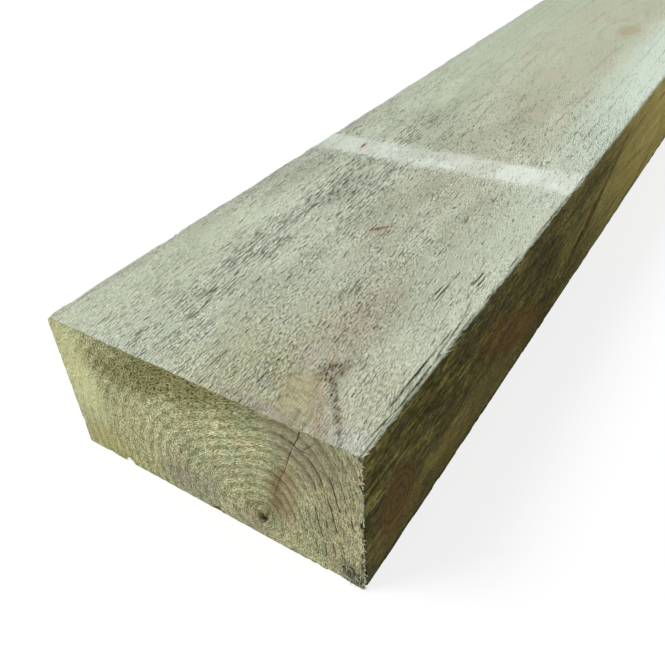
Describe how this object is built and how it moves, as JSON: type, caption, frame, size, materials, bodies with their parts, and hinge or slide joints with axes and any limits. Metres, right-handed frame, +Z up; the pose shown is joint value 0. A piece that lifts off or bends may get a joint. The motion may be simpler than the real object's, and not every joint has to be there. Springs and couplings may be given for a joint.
{
  "type": "railway sleeper",
  "caption": "Rough-sawn, pressure-treated softwood sleeper: one solid rectangular timber for edging, steps, raised beds and low retaining walls.",
  "frame": {"origin": "centre of the sleeper's footprint, on the bed face that it lies on", "axes": "+X along the grain and the length, away from the end with the check; +Y across the width; +Z up through the thickness"},
  "size_m": [2.4, 0.2, 0.097],
  "materials": {
    "treated_softwood": "rough sawn, green pressure treated, unpainted"
  },
  "bodies": {
    "root": {"sleeper": "treated_softwood"}
  },
  "joints": []
}
